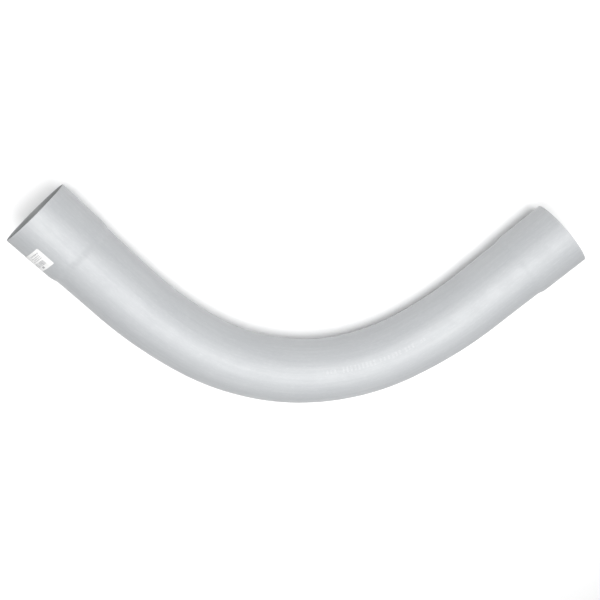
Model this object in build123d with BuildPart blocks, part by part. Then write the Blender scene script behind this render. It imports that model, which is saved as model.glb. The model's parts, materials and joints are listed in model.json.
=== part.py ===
from build123d import *
import os
from math import cos, degrees, radians, sin, sqrt

# 90 degree PVC conduit elbow with a bell at each end, 4 inch trade size. Millimetres.
# Frame: the elbow lies flat, so its centreline is in the XY plane and +Z is up.
# Leg A runs along +Y to socket A. Leg B runs along +X to socket B.
# The origin is the centre of socket A's inner end, on leg A's axis.

# ---- driving dimensions: the tube ----
TUBE_R = 57.15             # outside radius (4.500 in outside diameter)
TUBE_WALL = 2.54           # wall thickness (0.100 in)
SOCKET_R = 57.5            # inside radius of the sockets, a slip fit over the same tube
SOCKET_LENGTH = 78.0       # length of the cylindrical wall that holds the mating tube
LEAD_IN_LENGTH = 3.0       # length of the flared mouth in front of that wall
LEAD_IN_RISE = 0.8         # how much the mouth flares in radius
RIM_ROUND = 0.8            # rounding of the mouth's outer edge
SHOULDER_LENGTH = 16.0     # length over which the bell blends into the tube
BEND_ANGLE = 90.0          # total turn
TIGHT_ANGLE = 62.0         # turn taken by the middle arc
TIGHT_R = 350.0            # centreline radius of the middle arc
EASE_R = 640.0             # centreline radius of the easing arc on each side of it
STRAIGHT_LENGTH = 180.0    # straight centreline from the end of the bend to the mouth

# ---- driving dimensions: the sticker on bell A ----
# Angles around the tube are measured from straight up towards the outside of the bend.
LABEL_FROM_MOUTH = 35.3
LABEL_LENGTH = 31.75       # along the bell (1.25 in)
LABEL_WIDTH = 50.8         # around the bell (2 in)
LABEL_START = 17.5
ADHESIVE_THICK = 0.04
ADHESIVE_INSET = 0.6       # the adhesive stops a little inside the paper's edge
PAPER_THICK = 0.12
INK_THICK = 0.04
LABEL_MARGIN = 4.0         # bare paper at the edges
CODE_BARS = 13             # upright bars of the printed block
CODE_BAR_WIDTHS = (0.8, 1.6, 0.8)
CODE_PITCH = 2.6
CODE_HEIGHT = 9.0
TEXT_LINES = (34.0, 26.0, 38.0)
TEXT_LINE_HEIGHT = 1.6
TEXT_LINE_PITCH = 4.2

# ---- driving dimensions: the printed legend on the bend ----
LEGEND_SIDE = -25.0        # angle of the legend's middle around the tube
LEGEND_THICK = 0.08
LEGEND_BAR = 3.2           # length of one upright bar along the centreline
# Each word: distance of its first bar from the middle of the bend towards leg B,
# number of bars, spacing of the bars, height of the bars.
LEGEND_WORDS = (
    (40.0, 3, 7.0, 5.0),
    (70.0, 9, 7.4, 9.0),
    (141.0, 3, 8.0, 5.0),
    (165.0, 3, 7.0, 6.5),
    (191.0, 3, 7.0, 6.5),
    (222.0, 2, 6.0, 4.0),
)

# ---- derived dimensions ----
BORE_R = TUBE_R - TUBE_WALL
# The wall keeps its area when the bell is expanded, so the bell's wall is a little thinner.
BELL_R = sqrt(SOCKET_R**2 + TUBE_R**2 - BORE_R**2)
MOUTH_Y = SOCKET_LENGTH + LEAD_IN_LENGTH
BEND_END_Y = MOUTH_Y - STRAIGHT_LENGTH
EASE_ANGLE = (BEND_ANGLE - TIGHT_ANGLE) / 2
EASE_RAD = radians(EASE_ANGLE)

# Leg A's easing arc is centred beside the end of leg A. The middle arc's centre lies on
# the radius where the two arcs meet, so they are tangent.
EASE_CENTRE_A = Vector(EASE_R, BEND_END_Y)
ARC_JOINT_DIRECTION = Vector(-cos(EASE_RAD), -sin(EASE_RAD))
ARC_JOINT = EASE_CENTRE_A + ARC_JOINT_DIRECTION * EASE_R
TIGHT_CENTRE = ARC_JOINT - ARC_JOINT_DIRECTION * TIGHT_R
# The elbow is the same on both sides of the plane through the middle of the bend.
MIDDLE_PLANE = Plane(origin=TIGHT_CENTRE, z_dir=(1, -1, 0))
LEG_OFFSET = TIGHT_CENTRE.X - TIGHT_CENTRE.Y
EASE_CENTRE_B = Vector(EASE_CENTRE_A.Y + LEG_OFFSET, EASE_CENTRE_A.X - LEG_OFFSET)
MIDDLE_DIRECTION = 225.0   # direction from the middle arc's centre to the middle of the bend
TIGHT_HALF_LENGTH = TIGHT_R * radians(TIGHT_ANGLE / 2)

os.makedirs("parts", exist_ok=True)


def finish(piece, label):
    """Label a finished piece and write its STEP file."""
    piece.part.label = label
    export_step(piece.part, f"parts/{label}.step")


def shoulder(low_r, high_r):
    """Draw the rounded step of one wall face as two arcs that meet halfway."""
    middle = ((low_r + high_r) / 2, -SHOULDER_LENGTH / 2)
    TangentArc((low_r, -SHOULDER_LENGTH), middle, tangent=(0, 1))
    TangentArc((high_r, 0), middle, tangent=(0, -1))


def tube_arc(plane, centre, angle):
    """Add a stretch of tube that starts on the given plane and bends about the given centre."""
    with BuildSketch(plane) as ring:
        Circle(TUBE_R)
        Circle(BORE_R, mode=Mode.SUBTRACT)
    revolve(ring.sketch, axis=Axis(centre, (0, 0, 1)), revolution_arc=angle)


def wrapped_patch(radius, thick, start, width, low_y, high_y):
    """Add a thin curved rectangle on bell A, width measured around the given radius."""
    angle = radians(start)
    plane = Plane(
        origin=(0, 0, 0),
        x_dir=(-sin(angle), 0, cos(angle)),
        z_dir=(-cos(angle), 0, -sin(angle)),
    )
    with BuildSketch(plane) as section:
        with Locations((radius + thick / 2, (low_y + high_y) / 2)):
            Rectangle(thick, high_y - low_y)
    wrap = degrees(width / radius)
    revolve(section.sketch, axis=Axis((0, 0, 0), (0, -1, 0)), revolution_arc=wrap)


def bend_mark(distance, length, height):
    """Add one thin ink bar on the bend, at a centreline distance from its middle."""
    if distance < TIGHT_HALF_LENGTH:
        centre = TIGHT_CENTRE
        arc_r = TIGHT_R
        direction = MIDDLE_DIRECTION + degrees(distance / TIGHT_R)
    else:
        centre = EASE_CENTRE_B
        arc_r = EASE_R
        past = distance - TIGHT_HALF_LENGTH
        direction = MIDDLE_DIRECTION + TIGHT_ANGLE / 2 + degrees(past / EASE_R)
    outward = Vector(1, 0).rotate(Axis.Z, direction)
    plane = Plane(origin=centre + outward * arc_r, x_dir=outward, z_dir=outward.cross(Vector(0, 0, 1)))
    span = degrees(height / TUBE_R)
    first = 90 - LEGEND_SIDE - span / 2
    with BuildSketch(plane) as section:
        with BuildLine():
            inner = CenterArc((0, 0), TUBE_R, first, span)
            outer = CenterArc((0, 0), TUBE_R + LEGEND_THICK, first, span)
            Line(inner @ 0, outer @ 0)
            Line(inner @ 1, outer @ 1)
        make_face()
    sweep_angle = degrees(length / arc_r)
    revolve(section.sketch, axis=Axis(centre, (0, 0, 1)), revolution_arc=sweep_angle)


# ---- the tube: leg A with its bell, half of the bend, and their mirror image ----
with BuildPart() as elbow_pipe:
    with BuildSketch():
        with BuildLine():
            Line((BORE_R, BEND_END_Y), (BORE_R, -SHOULDER_LENGTH))
            shoulder(BORE_R, SOCKET_R)
            Polyline(
                (SOCKET_R, 0),
                (SOCKET_R, SOCKET_LENGTH),
                (SOCKET_R + LEAD_IN_RISE, MOUTH_Y),
                (BELL_R - RIM_ROUND, MOUTH_Y),
            )
            TangentArc((BELL_R - RIM_ROUND, MOUTH_Y), (BELL_R, MOUTH_Y - RIM_ROUND), tangent=(1, 0))
            Line((BELL_R, MOUTH_Y - RIM_ROUND), (BELL_R, 0))
            shoulder(TUBE_R, BELL_R)
            Polyline((TUBE_R, -SHOULDER_LENGTH), (TUBE_R, BEND_END_Y), (BORE_R, BEND_END_Y))
        make_face()
    revolve(axis=Axis.Y)
    leg_end = Plane(origin=(0, BEND_END_Y, 0), z_dir=(0, -1, 0))
    tube_arc(leg_end, EASE_CENTRE_A, EASE_ANGLE)
    arc_joint = Plane(origin=ARC_JOINT, z_dir=ARC_JOINT_DIRECTION.rotate(Axis.Z, 90))
    tube_arc(arc_joint, TIGHT_CENTRE, TIGHT_ANGLE / 2)
    mirror(about=MIDDLE_PLANE)
finish(elbow_pipe, "elbow_pipe")

# ---- the sticker on bell A: adhesive, paper and ink ----
LABEL_HIGH_Y = MOUTH_Y - LABEL_FROM_MOUTH
LABEL_LOW_Y = LABEL_HIGH_Y - LABEL_LENGTH
PAPER_R = BELL_R + ADHESIVE_THICK
INK_R = PAPER_R + PAPER_THICK

with BuildPart() as label_adhesive:
    wrapped_patch(
        BELL_R,
        ADHESIVE_THICK,
        LABEL_START + degrees(ADHESIVE_INSET / BELL_R),
        LABEL_WIDTH - 2 * ADHESIVE_INSET,
        LABEL_LOW_Y + ADHESIVE_INSET,
        LABEL_HIGH_Y - ADHESIVE_INSET,
    )
finish(label_adhesive, "label_adhesive")

with BuildPart() as label_paper:
    wrapped_patch(PAPER_R, PAPER_THICK, LABEL_START, LABEL_WIDTH, LABEL_LOW_Y, LABEL_HIGH_Y)
finish(label_paper, "label_paper")

with BuildPart() as label_print:
    first_bar = LABEL_START + degrees(LABEL_MARGIN / INK_R)
    code_low = LABEL_LOW_Y + LABEL_MARGIN
    for i in range(CODE_BARS):
        bar_start = first_bar + degrees(i * CODE_PITCH / INK_R)
        bar_width = CODE_BAR_WIDTHS[i % len(CODE_BAR_WIDTHS)]
        wrapped_patch(INK_R, INK_THICK, bar_start, bar_width, code_low, code_low + CODE_HEIGHT)
    for i, line_width in enumerate(TEXT_LINES):
        line_high = LABEL_HIGH_Y - LABEL_MARGIN - i * TEXT_LINE_PITCH
        wrapped_patch(INK_R, INK_THICK, first_bar, line_width, line_high - TEXT_LINE_HEIGHT, line_high)
finish(label_print, "label_print")

# ---- the printed legend on the bend ----
with BuildPart() as pipe_print:
    for word_start, bars, pitch, height in LEGEND_WORDS:
        for i in range(bars):
            bend_mark(word_start + i * pitch, LEGEND_BAR, height)
finish(pipe_print, "pipe_print")
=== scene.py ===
import json
import random
from math import atan2, cos, exp, pi, radians, sin

import bpy
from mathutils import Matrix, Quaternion, Vector


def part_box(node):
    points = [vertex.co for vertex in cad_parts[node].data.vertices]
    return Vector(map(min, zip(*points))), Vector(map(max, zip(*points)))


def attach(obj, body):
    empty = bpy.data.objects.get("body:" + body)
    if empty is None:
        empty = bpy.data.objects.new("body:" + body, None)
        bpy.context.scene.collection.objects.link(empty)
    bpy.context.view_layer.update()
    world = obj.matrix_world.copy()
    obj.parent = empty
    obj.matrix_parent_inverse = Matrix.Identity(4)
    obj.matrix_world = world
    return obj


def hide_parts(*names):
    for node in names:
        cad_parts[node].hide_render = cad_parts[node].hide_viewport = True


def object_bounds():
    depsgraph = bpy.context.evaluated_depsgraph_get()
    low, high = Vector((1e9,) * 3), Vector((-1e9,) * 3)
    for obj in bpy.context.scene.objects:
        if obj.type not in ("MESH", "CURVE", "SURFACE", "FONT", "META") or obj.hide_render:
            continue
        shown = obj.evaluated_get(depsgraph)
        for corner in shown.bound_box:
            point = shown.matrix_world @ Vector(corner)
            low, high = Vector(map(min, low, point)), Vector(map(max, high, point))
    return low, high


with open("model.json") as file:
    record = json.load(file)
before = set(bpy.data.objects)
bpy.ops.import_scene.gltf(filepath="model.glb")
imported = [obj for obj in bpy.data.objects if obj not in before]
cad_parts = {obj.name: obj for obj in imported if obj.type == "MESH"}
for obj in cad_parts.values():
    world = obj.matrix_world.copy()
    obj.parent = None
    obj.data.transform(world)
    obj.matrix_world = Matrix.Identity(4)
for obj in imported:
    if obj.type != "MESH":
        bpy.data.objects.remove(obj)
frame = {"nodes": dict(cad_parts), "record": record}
CAD_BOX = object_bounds()

# ---- the tube's dimensions, in metres: what the frame gives, and the bend's own radii ----
MOUNTS = {m["name"]: m for m in frame["record"]["mounts"]}
SOCKET_R = MOUNTS["socket_a"]["dims"]["r_mm"] / 1000
SOCKET_LENGTH = MOUNTS["socket_a"]["dims"]["length_mm"] / 1000
LEG_OFFSET = MOUNTS["socket_b"]["pos_m"][0]
BELL_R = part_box("elbow_pipe")[1].z
MOUTH_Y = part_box("elbow_pipe")[1].y
LEAD_IN_LENGTH = MOUTH_Y - SOCKET_LENGTH
TUBE_R = 0.05715
BORE_R = 0.05461
SHOULDER_LENGTH = 0.016
LEAD_IN_RISE = 0.0008
RIM_ROUND = 0.0008
STRAIGHT_LENGTH = 0.180
TIGHT_R = 0.350
EASE_R = 0.640
TIGHT_TURN = radians(31)
EASE_TURN = radians(45) - TIGHT_TURN
TIGHT_LENGTH = TIGHT_R * TIGHT_TURN
EASE_LENGTH = EASE_R * EASE_TURN
HALF_LENGTH = TIGHT_LENGTH + EASE_LENGTH + STRAIGHT_LENGTH
UP = Vector((0, 0, 1))

# The middle arc's centre lies on the line through the easing arc's centre and the arcs' joint.
JOINT_DIRECTION = Vector((-cos(EASE_TURN), -sin(EASE_TURN), 0))
EASE_CENTRE = Vector((EASE_R, MOUTH_Y - STRAIGHT_LENGTH, 0))
TIGHT_CENTRE = EASE_CENTRE + JOINT_DIRECTION * (EASE_R - TIGHT_R)

AROUND_STEPS = 112         # facets around the tube
ALONG_STEP = 0.005         # spacing of the rings along the tube
RIM_STEPS = 5
SHOULDER_STEPS = 14
SHARP_ANGLE = radians(38)  # edges sharper than this are not smoothed over
OVALITY = 0.00045          # how much the bend is squeezed out of round, as a radius
FADE_LENGTH = 0.05         # stretch over which the unevenness dies out before a bell
RIM_WEAR_REACH = 0.0016    # how quickly the rim's scuffed colour dies out from the mouth


# ---- the tube's shape ----
def station(along):
    """Centreline point and outward direction, along from the middle of the bend, leg B positive."""
    distance = abs(along)
    if distance < TIGHT_LENGTH:
        turn = radians(45) - distance / TIGHT_R
        outward = Vector((-cos(turn), -sin(turn), 0))
        point = TIGHT_CENTRE + outward * TIGHT_R
    elif distance < TIGHT_LENGTH + EASE_LENGTH:
        turn = EASE_TURN - (distance - TIGHT_LENGTH) / EASE_R
        outward = Vector((-cos(turn), -sin(turn), 0))
        point = EASE_CENTRE + outward * EASE_R
    else:
        outward = Vector((-1, 0, 0))
        point = Vector((0, MOUTH_Y - HALF_LENGTH + distance, 0))
    if along <= 0:
        return point, outward
    return Vector((point.y + LEG_OFFSET, point.x - LEG_OFFSET, 0)), Vector((outward.y, outward.x, 0))


def waviness(along, around):
    """Slight unevenness of a heated and bent tube. It dies out before the bells."""
    bell_end = HALF_LENGTH - MOUTH_Y - SHOULDER_LENGTH
    fade = max(0.0, min(1.0, (bell_end - abs(along)) / FADE_LENGTH))
    bend_share = exp(-(along / (TIGHT_LENGTH + 0.5 * EASE_LENGTH)) ** 4)
    oval = OVALITY * cos(2 * around) * bend_share
    slow = 0.00016 * sin(23 * along + 1.3) * cos(around - 0.6)
    slow += 0.00010 * sin(41 * along - 0.4) * cos(2 * around + 0.9)
    inside = max(0.0, -sin(around)) ** 2
    ripple = 0.00008 * sin(165 * along) * inside * bend_share
    return fade * (oval + slow + ripple)


def skin_point(along, around, radius):
    """A point at a radius; around is measured from straight up towards the outside of the bend."""
    centre, outward = station(along)
    return centre + (UP * cos(around) + outward * sin(around)) * (radius + waviness(along, around))


def eased(share):
    """0 to 1 with level ends."""
    return share * share * (3 - 2 * share)


def steps(low, high, count):
    """Evenly spaced values after low, up to and with high."""
    return [low + (high - low) * i / count for i in range(1, count + 1)]


def outer_wall():
    """The outer wall from the mouth's flat rim to the middle of the bend: (from the mouth, radius)."""
    wall = []
    for i in range(RIM_STEPS + 1):
        turn = pi / 2 * i / RIM_STEPS
        wall.append((RIM_ROUND * (1 - cos(turn)), BELL_R - RIM_ROUND * (1 - sin(turn))))
    wall += [(d, BELL_R) for d in steps(RIM_ROUND, MOUTH_Y, round(MOUTH_Y / ALONG_STEP))]
    for share in steps(0, 1, SHOULDER_STEPS):
        wall.append((MOUTH_Y + share * SHOULDER_LENGTH, BELL_R + (TUBE_R - BELL_R) * eased(share)))
    return wall + tube_wall(TUBE_R)


def inner_wall():
    """The inner wall from the mouth to the middle of the bend."""
    wall = [(0, SOCKET_R + LEAD_IN_RISE), (LEAD_IN_LENGTH / 2, SOCKET_R + LEAD_IN_RISE / 2)]
    wall.append((LEAD_IN_LENGTH, SOCKET_R))
    wall += [(d, SOCKET_R) for d in steps(LEAD_IN_LENGTH, MOUTH_Y, round(SOCKET_LENGTH / ALONG_STEP))]
    for share in steps(0, 1, SHOULDER_STEPS):
        wall.append((MOUTH_Y + share * SHOULDER_LENGTH, SOCKET_R + (BORE_R - SOCKET_R) * eased(share)))
    return wall + tube_wall(BORE_R)


def tube_wall(radius):
    """The plain stretch from the shoulder to the middle of the bend."""
    start = MOUTH_Y + SHOULDER_LENGTH
    return [(d, radius) for d in steps(start, HALF_LENGTH, round((HALF_LENGTH - start) / ALONG_STEP))]


def new_piece(name, points, faces, material, replaced=()):
    """Make a smooth-shaded mesh piece that rides on the frame's one body."""
    mesh = bpy.data.meshes.new(name)
    mesh.from_pydata([tuple(p) for p in points], [], faces)
    mesh.shade_smooth()
    mesh.set_sharp_from_angle(angle=SHARP_ANGLE)
    mesh.materials.append(material)
    piece = bpy.data.objects.new(name, mesh)
    bpy.context.collection.objects.link(piece)
    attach(piece, "root")
    if replaced:
        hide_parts(*replaced)
    return piece


def add_values(piece, name, values):
    """Store one number for each vertex, for the material to read."""
    layer = piece.data.attributes.new(name, "FLOAT", "POINT")
    layer.data.foreach_set("value", values)


def add_vectors(piece, name, vectors):
    """Store one vector for each vertex, for the material to read."""
    layer = piece.data.attributes.new(name, "FLOAT_VECTOR", "POINT")
    layer.data.foreach_set("vector", [x for v in vectors for x in v])


def make_tube(material):
    """The whole elbow: outer wall, both rims and inner wall as one closed skin of quads."""
    outer = outer_wall()
    inner = inner_wall()
    loop = [(d - HALF_LENGTH, r, 0) for d, r in outer]
    loop += [(HALF_LENGTH - d, r, 0) for d, r in reversed(outer[:-1])]
    loop += [(HALF_LENGTH - d, r, 1) for d, r in inner]
    loop += [(d - HALF_LENGTH, r, 1) for d, r in reversed(inner[:-1])]
    points = []
    straight = []
    inside = []
    rim = []
    for along, radius, is_inner in loop:
        for i in range(AROUND_STEPS):
            around = 2 * pi * i / AROUND_STEPS
            points.append(skin_point(along, around, radius))
            straight.append((radius * cos(around), radius * sin(around), along))
            inside.append(is_inner)
            rim.append(exp(-(HALF_LENGTH - abs(along)) / RIM_WEAR_REACH))
    faces = []
    for ring in range(len(loop)):
        following = (ring + 1) % len(loop)
        for i in range(AROUND_STEPS):
            j = (i + 1) % AROUND_STEPS
            a = ring * AROUND_STEPS
            b = following * AROUND_STEPS
            faces.append((a + i, a + j, b + j, b + i))
    piece = new_piece("elbow_tube", points, faces, material, ["elbow_pipe"])
    add_vectors(piece, "straight", straight)
    add_values(piece, "inside", inside)
    add_values(piece, "rim", rim)
    return piece


# ---- the sticker on bell A ----
LABEL_LOW, LABEL_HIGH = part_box("label_paper")
LABEL_START = atan2(-LABEL_HIGH.x, LABEL_HIGH.z)
LABEL_END = atan2(-LABEL_LOW.x, LABEL_LOW.z)
LABEL_WIDTH = (LABEL_END - LABEL_START) * BELL_R
LABEL_LENGTH = LABEL_HIGH.y - LABEL_LOW.y
LABEL_CORNER = 0.0020
ADHESIVE_THICK = 0.00004
PAPER_THICK = 0.00012
LABEL_LIFT = 0.00045       # how far the loosest corner has come away
LABEL_STEPS_AROUND = 72
LABEL_STEPS_ALONG = 46
CORNER_STEPS = 6
MARK_STEPS_ALONG = 4       # divisions of one printed rectangle
MARK_STEPS_AROUND = 8
MARK_SINK = 0.00001        # how deep a mark reaches into the paper
MARK_HIGH = 0.00002


def label_lift(across, down):
    """How far the paper stands off the bell: one corner has lifted a little, and the edges hardly."""
    corner = exp(-(((1 - across) * 5) ** 2 + (down * 4) ** 2))
    edge = max(abs(across - 0.5), abs(down - 0.5)) * 2
    return LABEL_LIFT * corner + 0.00003 * edge ** 8 + 0.00002 * (1 + sin(19 * across + 7 * down))


def label_point(across, down, height):
    """A point on the sticker. across runs round the bell from its upper edge, down away from the mouth."""
    around = LABEL_START + across * (LABEL_END - LABEL_START)
    radius = BELL_R + ADHESIVE_THICK + label_lift(across, down) + height
    y = LABEL_HIGH.y - down * LABEL_LENGTH
    return Vector((-sin(around) * radius, y, cos(around) * radius))


def corner_inset(place, length):
    """How much a row is shortened, where it crosses the sticker's rounded corners."""
    from_edge = min(place, 1 - place) * length
    if from_edge >= LABEL_CORNER:
        return 0.0
    return LABEL_CORNER - (LABEL_CORNER**2 - (LABEL_CORNER - from_edge) ** 2) ** 0.5


def spaced(count, length):
    """Places from 0 to 1, closer together near both ends so that rounded corners stay round."""
    share = LABEL_CORNER / length
    ends = [share * (1 - cos(pi / 2 * i / CORNER_STEPS)) for i in range(CORNER_STEPS)]
    middle = [share + (1 - 2 * share) * i / count for i in range(count + 1)]
    return ends + middle + [1 - place for place in reversed(ends)]


def thin_sheet(rows, columns, low_point, high_point):
    """Points and faces of a closed thin sheet from two point functions of a row and a column."""
    points = [low_point(r, c) for r in rows for c in columns]
    points += [high_point(r, c) for r in rows for c in columns]
    wide = len(columns)
    layer = len(rows) * wide
    faces = []
    for r in range(len(rows) - 1):
        for c in range(wide - 1):
            a = r * wide + c
            faces.append((a, a + wide, a + wide + 1, a + 1))
            faces.append((layer + a, layer + a + 1, layer + a + wide + 1, layer + a + wide))
    edge = list(range(wide))
    edge += [r * wide + wide - 1 for r in range(1, len(rows))]
    edge += [(len(rows) - 1) * wide + c for c in range(wide - 2, -1, -1)]
    edge += [r * wide for r in range(len(rows) - 2, 0, -1)]
    for i, a in enumerate(edge):
        b = edge[(i + 1) % len(edge)]
        faces.append((a, b, layer + b, layer + a))
    return points, faces


def make_label(material):
    """The paper with rounded corners."""
    def at(down, across, height):
        inset = corner_inset(down, LABEL_LENGTH) / LABEL_WIDTH
        return label_point(inset + across * (1 - 2 * inset), down, height)

    rows = spaced(LABEL_STEPS_ALONG, LABEL_LENGTH)
    columns = spaced(LABEL_STEPS_AROUND, LABEL_WIDTH)
    points, faces = thin_sheet(
        rows, columns, lambda r, c: at(r, c, 0), lambda r, c: at(r, c, PAPER_THICK)
    )
    return new_piece("label_face", points, faces, material, ["label_paper"])


def divided(span, count, length):
    """Evenly spaced places along a (low, high) span, as shares of a length."""
    return [(span[0] + (span[1] - span[0]) * i / count) / length for i in range(count + 1)]


def label_mark(points, faces, across, down):
    """Add one printed rectangle to the sticker; across and down are (low, high) in metres."""
    rows = divided(down, MARK_STEPS_ALONG, LABEL_LENGTH)
    columns = divided(across, MARK_STEPS_AROUND, LABEL_WIDTH)
    new_points, new_faces = thin_sheet(
        rows,
        columns,
        lambda r, c: label_point(c, r, PAPER_THICK - MARK_SINK),
        lambda r, c: label_point(c, r, PAPER_THICK + MARK_HIGH),
    )
    start = len(points)
    points += new_points
    faces += [tuple(start + i for i in face) for face in new_faces]


# Each text-like line: its top, height, start and end on the sticker.
LABEL_LINES = (
    (0.0042, 0.0019, 0.0065, 0.0270),
    (0.0082, 0.0011, 0.0085, 0.0330),
    (0.0108, 0.0011, 0.0085, 0.0300),
    (0.0134, 0.0011, 0.0085, 0.0360),
)
LABEL_CODE = ((0.0110, 0.0400), (0.0172, 0.0246))    # the block of bars: across, down
LABEL_SQUARE = ((0.0215, 0.0285), (0.0258, 0.0290))


def make_label_print(material):
    """Generic print: text-like dashes, a block of bars and a filled mark. No letters."""
    chance = random.Random(4)
    points = []
    faces = []
    for top, height, place, end in LABEL_LINES:
        while place < end:
            width = chance.choice((0.0011, 0.0018, 0.0026))
            label_mark(points, faces, (place, place + width), (top, top + height))
            place += width + chance.choice((0.0006, 0.0006, 0.0018))
    (place, code_end), code_down = LABEL_CODE
    while place < code_end:
        width = chance.choice((0.0004, 0.0004, 0.0008, 0.0012))
        label_mark(points, faces, (place, place + width), code_down)
        place += width + chance.choice((0.0006, 0.0009, 0.0012))
    label_mark(points, faces, *LABEL_SQUARE)
    return new_piece("label_ink", points, faces, material, ["label_print"])


# ---- the ink-jet legend on the bend ----
LEGEND_SIDE = radians(-25)
DOT_R = 0.00048
DOT_HIGH = 0.00005
DOT_SINK = 0.00005         # more than the tube's flat facets lie under its true surface
DOT_SIDES = 8
DOT_PITCH = 0.00125        # spacing of the dots along the tube and in each column
LEGEND_COLUMNS = 3
# Each word: its first cell's distance from the middle of the bend, cells, their spacing, height.
LEGEND_WORDS = (
    (0.040, 3, 0.0070, 0.0050),
    (0.070, 9, 0.0074, 0.0090),
    (0.141, 3, 0.0080, 0.0050),
    (0.165, 3, 0.0070, 0.0065),
    (0.191, 3, 0.0070, 0.0065),
    (0.222, 2, 0.0060, 0.0040),
)


def add_dot(points, faces, along, around, radius):
    """One round ink dot: a low flat-topped bump that is just sunk into the tube."""
    start = len(points)
    for spread, high in ((1.0, -DOT_SINK), (1.0, DOT_HIGH * 0.4), (0.7, DOT_HIGH)):
        for i in range(DOT_SIDES):
            turn = 2 * pi * i / DOT_SIDES
            beside = around + radius * spread * sin(turn) / TUBE_R
            points.append(skin_point(along + radius * spread * cos(turn), beside, TUBE_R + high))
    for level in (0, DOT_SIDES):
        for i in range(DOT_SIDES):
            j = (i + 1) % DOT_SIDES
            a = start + level
            faces.append((a + i, a + i + DOT_SIDES, a + j + DOT_SIDES, a + j))
    faces.append(tuple(start + i for i in range(DOT_SIDES)))
    faces.append(tuple(start + 2 * DOT_SIDES + i for i in reversed(range(DOT_SIDES))))


def make_legend(material):
    """Plain blocks of dots in groups. They form no letters."""
    chance = random.Random(11)
    points = []
    faces = []
    for word_start, cells, spacing, height in LEGEND_WORDS:
        rows = int(height / DOT_PITCH)
        for cell in range(cells):
            for column in range(LEGEND_COLUMNS):
                along = word_start + cell * spacing + column * DOT_PITCH
                for row in range(rows + 1):
                    across = (row - rows / 2) * DOT_PITCH + chance.uniform(-1, 1) * 0.00010
                    size = DOT_R * chance.uniform(0.8, 1.15)
                    add_dot(points, faces, along, LEGEND_SIDE + across / TUBE_R, size)
    return new_piece("legend_dots", points, faces, material, ["pipe_print"])


# ---- materials ----
class Nodes:
    """A short way to write a node material."""

    def __init__(self, name):
        self.material = bpy.data.materials.new(name)
        self.material.use_nodes = True
        self.tree = self.material.node_tree
        self.tree.nodes.clear()
        self.output = self.add("ShaderNodeOutputMaterial")
        self.shader = self.add("ShaderNodeBsdfPrincipled")
        self.link(self.shader.outputs["BSDF"], self.output.inputs["Surface"])

    def add(self, kind, **settings):
        node = self.tree.nodes.new(kind)
        for key, value in settings.items():
            setattr(node, key, value)
        return node

    def link(self, source, target):
        self.tree.links.new(source, target)

    def set(self, **values):
        """Set plain values on the shader's own sockets."""
        for key, value in values.items():
            self.shader.inputs[key.replace("_", " ")].default_value = value

    def attribute(self, name, output="Fac"):
        return self.add("ShaderNodeAttribute", attribute_name=name).outputs[output]

    def coordinates(self):
        return self.add("ShaderNodeTexCoord").outputs["Object"]

    def stretched(self, vector, scale, turn=(0, 0, 0)):
        node = self.add("ShaderNodeMapping")
        self.link(vector, node.inputs["Vector"])
        node.inputs["Scale"].default_value = scale
        node.inputs["Rotation"].default_value = turn
        return node.outputs["Vector"]

    def noise(self, vector, scale, detail=3.0, roughness=0.5):
        node = self.add("ShaderNodeTexNoise")
        self.link(vector, node.inputs["Vector"])
        node.inputs["Scale"].default_value = scale
        node.inputs["Detail"].default_value = detail
        node.inputs["Roughness"].default_value = roughness
        return node.outputs["Fac"]

    def ranged(self, value, low, high, to_low=0.0, to_high=1.0):
        """Map a value's range low to high on to another range, clamped."""
        node = self.add("ShaderNodeMapRange")
        self.link(value, node.inputs["Value"])
        for key, number in (("From Min", low), ("From Max", high), ("To Min", to_low), ("To Max", to_high)):
            node.inputs[key].default_value = number
        return node.outputs["Result"]

    def math(self, operation, first, second):
        node = self.add("ShaderNodeMath", operation=operation)
        for socket, value in zip(node.inputs, (first, second)):
            if isinstance(value, (int, float)):
                socket.default_value = value
            else:
                self.link(value, socket)
        return node.outputs[0]

    def blend(self, share, first, second):
        """Mix two colours by a share from 0 to 1."""
        node = self.add("ShaderNodeMix", data_type="RGBA")
        self.link(share, node.inputs["Factor"])
        for socket, value in ((node.inputs[6], first), (node.inputs[7], second)):
            if isinstance(value, tuple):
                socket.default_value = (*value, 1)
            else:
                self.link(value, socket)
        return node.outputs[2]

    def bump(self, height, strength, distance, below=None):
        node = self.add("ShaderNodeBump")
        node.inputs["Strength"].default_value = strength
        node.inputs["Distance"].default_value = distance
        self.link(height, node.inputs["Height"])
        if below is not None:
            self.link(below, node.inputs["Normal"])
        return node.outputs["Normal"]


PVC_GREY = (0.344, 0.353, 0.364)
PVC_PALE = (0.370, 0.380, 0.388)
PVC_DEEP = (0.313, 0.324, 0.336)
PVC_BORE_SHADE = (0.296, 0.301, 0.301)
PVC_CUT = (0.428, 0.435, 0.442)


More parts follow.
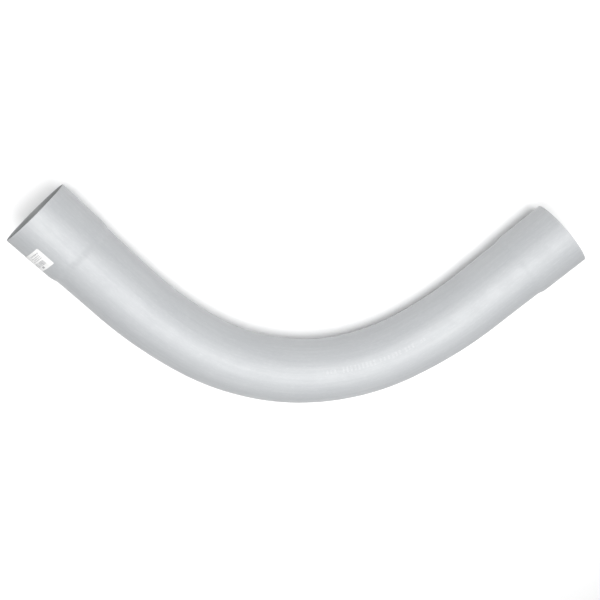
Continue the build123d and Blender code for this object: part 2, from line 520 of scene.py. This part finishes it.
def pvc_material():
    """Satin grey PVC: faint draw lines along the tube, cloudy colour, light rubbing marks, and painted shade
    over the inner wall.
    """
    n = Nodes("pvc_grey")
    straight = n.attribute("straight", "Vector")
    lines = n.noise(n.stretched(straight, (1, 1, 0.03)), 190, 6, 0.68)
    clouds = n.noise(straight, 9, 3, 0.55)
    grain = n.noise(straight, 1500, 2, 0.5)
    mottle = n.noise(n.stretched(straight, (1, 1, 0.3)), 420, 3, 0.65)
    colour = n.blend(n.ranged(clouds, 0.3, 0.7), PVC_GREY, PVC_PALE)
    colour = n.blend(n.ranged(lines, 0.35, 0.72, 0.0, 0.75), colour, PVC_DEEP)
    colour = n.blend(n.ranged(mottle, 0.5, 0.8, 0.0, 0.45), colour, PVC_CUT)
    patches = n.ranged(n.noise(straight, 5, 2), 0.5, 0.66)
    rubs = n.ranged(n.noise(n.stretched(straight, (1, 1, 0.05), (0.12, 0, 0)), 260, 2), 0.66, 0.74)
    cross = n.ranged(n.noise(n.stretched(straight, (0.35, 1, 0.12), (0.9, 0.3, 0.2)), 300, 2), 0.69, 0.75)
    marks = n.math("MULTIPLY", n.math("MAXIMUM", rubs, cross), patches)
    colour = n.blend(n.math("MULTIPLY", marks, 0.3), colour, PVC_CUT)
    # Painted shade: the whole inner wall is darkened, patchy by noise, standing in for the shade inside the
    # bore.
    bore_shade = n.math("MULTIPLY", n.attribute("inside"), n.ranged(n.noise(straight, 30, 4), 0.3, 0.7, 0.35, 0.8))
    colour = n.blend(bore_shade, colour, PVC_BORE_SHADE)
    colour = n.blend(n.ranged(n.attribute("rim"), 0.3, 0.9, 0.0, 0.7), colour, PVC_CUT)
    n.link(colour, n.shader.inputs["Base Color"])
    rough = n.ranged(n.noise(straight, 46, 4, 0.6), 0.3, 0.7, 0.40, 0.54)
    rough = n.math("ADD", rough, n.math("MULTIPLY", marks, 0.15))
    rough = n.math("ADD", rough, n.ranged(n.attribute("rim"), 0.3, 0.9, 0.0, 0.25))
    n.link(rough, n.shader.inputs["Roughness"])
    n.set(IOR=1.53)
    normal = n.bump(lines, 0.45, 0.00012)
    normal = n.bump(mottle, 0.25, 0.00008, normal)
    normal = n.bump(grain, 0.10, 0.00004, normal)
    normal = n.bump(marks, 0.12, 0.00005, normal)
    n.link(normal, n.shader.inputs["Normal"])
    return n.material


def legend_material():
    """Worn white ink: its cover is thin and uneven, so some of the grey shows through."""
    n = Nodes("legend_ink")
    place = n.coordinates()
    worn = n.noise(place, 1200, 2)
    n.link(n.blend(n.ranged(worn, 0.35, 0.65), PVC_PALE, (0.49, 0.496, 0.502)), n.shader.inputs["Base Color"])
    n.link(n.ranged(worn, 0.3, 0.7, 0.45, 0.62), n.shader.inputs["Roughness"])
    n.link(n.bump(n.noise(place, 4000, 2), 0.2, 0.00003), n.shader.inputs["Normal"])
    return n.material


def paper_material():
    """Matt white label stock with a faint fibre texture and a little handling dirt."""
    n = Nodes("label_paper")
    place = n.coordinates()
    fibre = n.noise(n.stretched(place, (1, 0.4, 1), (0.5, 0.2, 0.7)), 2600, 4, 0.7)
    dirt = n.ranged(n.noise(place, 70, 4), 0.52, 0.75, 0.0, 0.5)
    colour = n.blend(n.ranged(fibre, 0.3, 0.7), (0.66, 0.66, 0.655), (0.72, 0.72, 0.715))
    n.link(n.blend(dirt, colour, (0.55, 0.545, 0.53)), n.shader.inputs["Base Color"])
    n.link(n.ranged(fibre, 0.3, 0.7, 0.52, 0.66), n.shader.inputs["Roughness"])
    n.link(n.bump(fibre, 0.25, 0.00003), n.shader.inputs["Normal"])
    return n.material


def label_ink_material():
    """Grey thermal print with pale specks where it has dropped out."""
    n = Nodes("label_ink")
    place = n.coordinates()
    specks = n.ranged(n.noise(place, 1900, 3), 0.55, 0.7)
    n.link(n.blend(specks, (0.27, 0.275, 0.285), (0.55, 0.55, 0.55)), n.shader.inputs["Base Color"])
    n.link(n.ranged(n.noise(place, 300, 2), 0.3, 0.7, 0.45, 0.6), n.shader.inputs["Roughness"])
    return n.material


def adhesive_material():
    """Milky adhesive film with fine trapped bubbles."""
    n = Nodes("adhesive")
    place = n.coordinates()
    cloud = n.noise(place, 700, 3)
    colour = n.blend(n.ranged(cloud, 0.35, 0.7), (0.70, 0.69, 0.63), (0.84, 0.83, 0.78))
    n.link(colour, n.shader.inputs["Base Color"])
    n.link(n.ranged(cloud, 0.3, 0.7, 0.2, 0.4), n.shader.inputs["Roughness"])
    n.link(n.bump(cloud, 0.3, 0.00002), n.shader.inputs["Normal"])
    return n.material


def floor_material():
    """Matt near-white paper sweep."""
    n = Nodes("floor_white")
    place = n.coordinates()
    tone = n.noise(place, 3, 3)
    n.link(n.blend(tone, (0.91, 0.91, 0.91), (0.93, 0.93, 0.93)), n.shader.inputs["Base Color"])
    n.link(n.ranged(tone, 0.3, 0.7, 0.75, 0.85), n.shader.inputs["Roughness"])
    return n.material


# ---- floor, lights and camera ----
FLOOR_SIZE = 14.0
UNDERSIDE_STEPS = 80
UNDERSIDE_REACH = 0.02     # radians each side of straight down


def make_floor():
    """A slightly tilted plane that touches the undersides of both bells and of the thinner bend."""
    across_legs = Vector((-1, -1, 0)).normalized()
    underside = []
    for along in steps(-TIGHT_LENGTH, TIGHT_LENGTH, UNDERSIDE_STEPS):
        for around in (pi - UNDERSIDE_REACH, pi, pi + UNDERSIDE_REACH):
            underside.append(skin_point(along, around, TUBE_R))
    slope = min((BELL_R + point.z) / point.dot(across_legs) for point in underside)
    normal = (UP - across_legs * slope).normalized()
    turn = UP.rotation_difference(normal)
    half = FLOOR_SIZE / 2
    corners = [Vector((x, y, 0)) for x, y in ((-half, -half), (half, -half), (half, half), (-half, half))]
    low = Vector((0, 0, -BELL_R))
    mesh = bpy.data.meshes.new("floor")
    mesh.from_pydata([tuple(turn @ c + low) for c in corners], [], [(0, 1, 2, 3)])
    mesh.materials.append(floor_material())
    floor = bpy.data.objects.new("floor", mesh)
    bpy.context.collection.objects.link(floor)


def make_softbox(name, place, aim, size, power):
    """A square area light at a place, turned to face a point."""
    light = bpy.data.lights.new(name, "AREA")
    light.shape = "SQUARE"
    light.size = size
    light.energy = power
    lamp = bpy.data.objects.new(name, light)
    lamp.location = place
    lamp.rotation_euler = (aim - place).to_track_quat("-Z", "Y").to_euler()
    bpy.context.collection.objects.link(lamp)


OBJECT_CENTRE = (CAD_BOX[0] + CAD_BOX[1]) / 2
MOUTH_SIDE = Vector((1, 1, 0)).normalized()     # from the bend towards the open side, level
LIT_POINT = OBJECT_CENTRE - MOUTH_SIDE * 0.16   # the key light faces this point, near the bend
KEY_ELEVATION = radians(84)
KEY_DISTANCE = 1.5
KEY_SIZE = 1.6
KEY_POWER = 44
FILL_ELEVATION = radians(56)
FILL_DISTANCE = 1.9
FILL_SIZE = 1.6
FILL_POWER = 8
ROOM_STRENGTH = 0.22


def make_lights():
    """A broad softbox almost overhead, a weak one on the mouths' side and a dim even room."""
    to_key = MOUTH_SIDE * cos(KEY_ELEVATION) + UP * sin(KEY_ELEVATION)
    make_softbox("key", LIT_POINT + to_key * KEY_DISTANCE, LIT_POINT, KEY_SIZE, KEY_POWER)
    to_fill = MOUTH_SIDE * cos(FILL_ELEVATION) + UP * sin(FILL_ELEVATION)
    make_softbox("fill", OBJECT_CENTRE + to_fill * FILL_DISTANCE, OBJECT_CENTRE, FILL_SIZE, FILL_POWER)
    world = bpy.data.worlds.new("room")
    world.use_nodes = True
    background = world.node_tree.nodes["Background"]
    background.inputs["Color"].default_value = (0.98, 0.99, 1.0, 1)
    background.inputs["Strength"].default_value = ROOM_STRENGTH
    bpy.context.scene.world = world


VIEW_AIM = OBJECT_CENTRE + Vector((-0.0911, -0.0938, 0))
VIEW_AZIMUTH = radians(65.24)      # direction from the aim to the camera, from +X towards +Y
VIEW_ELEVATION = radians(63.40)
VIEW_DISTANCE = 1.2024
VIEW_ROLL = radians(162.76)        # the picture has the mouths at its top
VIEW_LENS = 41.89                  # millimetres, on a 36 mm wide sensor
VIEW_SHIFT = (-0.010, 0.033)       # the object lies a little off the lens's axis


def make_camera():
    """Camera above the mouths' side, looking down at the bend."""
    level = Vector((cos(VIEW_AZIMUTH), sin(VIEW_AZIMUTH), 0)) * cos(VIEW_ELEVATION)
    to_camera = level + UP * sin(VIEW_ELEVATION)
    data = bpy.data.cameras.new("camera")
    data.lens = VIEW_LENS
    data.sensor_width = 36
    data.shift_x, data.shift_y = VIEW_SHIFT
    camera = bpy.data.objects.new("camera", data)
    camera.location = VIEW_AIM + to_camera * VIEW_DISTANCE
    turn = (-to_camera).to_track_quat("-Z", "Y") @ Quaternion((0, 0, 1), VIEW_ROLL)
    camera.rotation_euler = turn.to_euler()
    bpy.context.collection.objects.link(camera)
    bpy.context.scene.camera = camera


make_camera()
make_tube(pvc_material())
make_label(paper_material())
make_label_print(label_ink_material())
make_legend(legend_material())
frame["nodes"]["label_adhesive"].material_slots[0].material = adhesive_material()
make_floor()
make_lights()
bpy.context.scene.view_settings.view_transform = "Standard"
